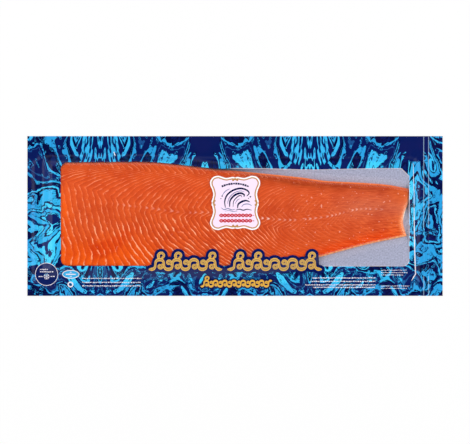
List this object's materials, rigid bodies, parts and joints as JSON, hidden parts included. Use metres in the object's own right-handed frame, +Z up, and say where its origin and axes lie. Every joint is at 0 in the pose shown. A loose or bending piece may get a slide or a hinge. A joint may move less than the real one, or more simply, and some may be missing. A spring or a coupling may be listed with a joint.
{
  "type": "pack of smoked salmon",
  "caption": "Flat vacuum pack of a whole smoked salmon side on a silver board, with a printed front film round a clear window and a label on the window.",
  "frame": {"origin": "middle of the rectangle that the pouch covers on the table, on its underside", "axes": "+X from the head end of the fish to its tail, along the pouch; +Y across the pouch towards the fish's back; +Z up, out of the printed front"},
  "size_m": [0.65, 0.25, 0.0256],
  "materials": {
    "back_film": "printed film, gloss",
    "backing_board": "silver laminated board, satin",
    "salmon_side": "moist smoked fish",
    "printed_film": "printed film, gloss",
    "window_film": "clear film, gloss",
    "front_label": "coated paper, satin"
  },
  "bodies": {
    "root": {"back_film": "back_film", "backing_board": "backing_board", "salmon_side": "salmon_side", "printed_film": "printed_film", "window_film": "window_film", "front_label": "front_label"}
  },
  "joints": []
}
